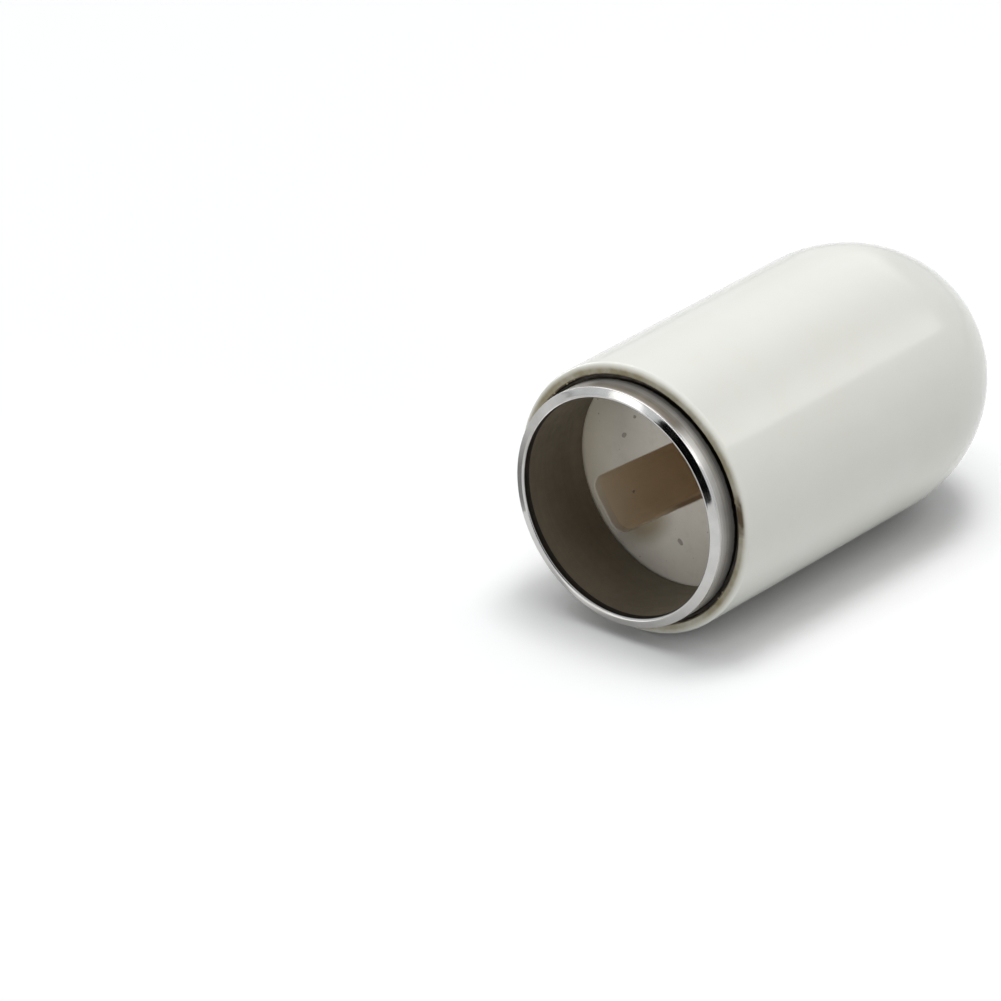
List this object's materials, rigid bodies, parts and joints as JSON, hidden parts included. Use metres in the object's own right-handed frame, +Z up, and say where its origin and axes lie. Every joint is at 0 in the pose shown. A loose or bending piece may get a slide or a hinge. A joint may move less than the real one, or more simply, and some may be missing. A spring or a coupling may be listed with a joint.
{
  "type": "stylus cap",
  "caption": "Domed slip-on stylus cap with a bright spigot collar, a slotted floor inside its mouth and hidden magnets that hold it on the barrel.",
  "frame": {"origin": "centre of the shell's mouth face, on the cap's axis", "axes": "+X along the axis from the mouth to the dome, +Z up with the cap lying on its side"},
  "size_m": [0.0166, 0.0088, 0.0088],
  "materials": {
    "shell_plastic": "gloss warm white moulding",
    "collar_steel": "polished stainless steel",
    "groove_glue": "cured brown adhesive",
    "liner_steel": "matte bronze-grey sleeve",
    "plate_plastic": "pale warm grey moulding",
    "core_plastic": "brown-grey moulding",
    "magnet_nickel": "nickel plated magnet",
    "tip_glue": "cured clear adhesive"
  },
  "bodies": {
    "root": {"cap_shell": "shell_plastic", "collar_ring": "collar_steel", "collar_glue": "groove_glue", "liner_sleeve": "liner_steel", "slot_plate": "plate_plastic", "plug_core": "core_plastic", "magnet_upper": "magnet_nickel", "magnet_lower": "magnet_nickel", "dome_glue": "tip_glue"}
  },
  "joints": []
}
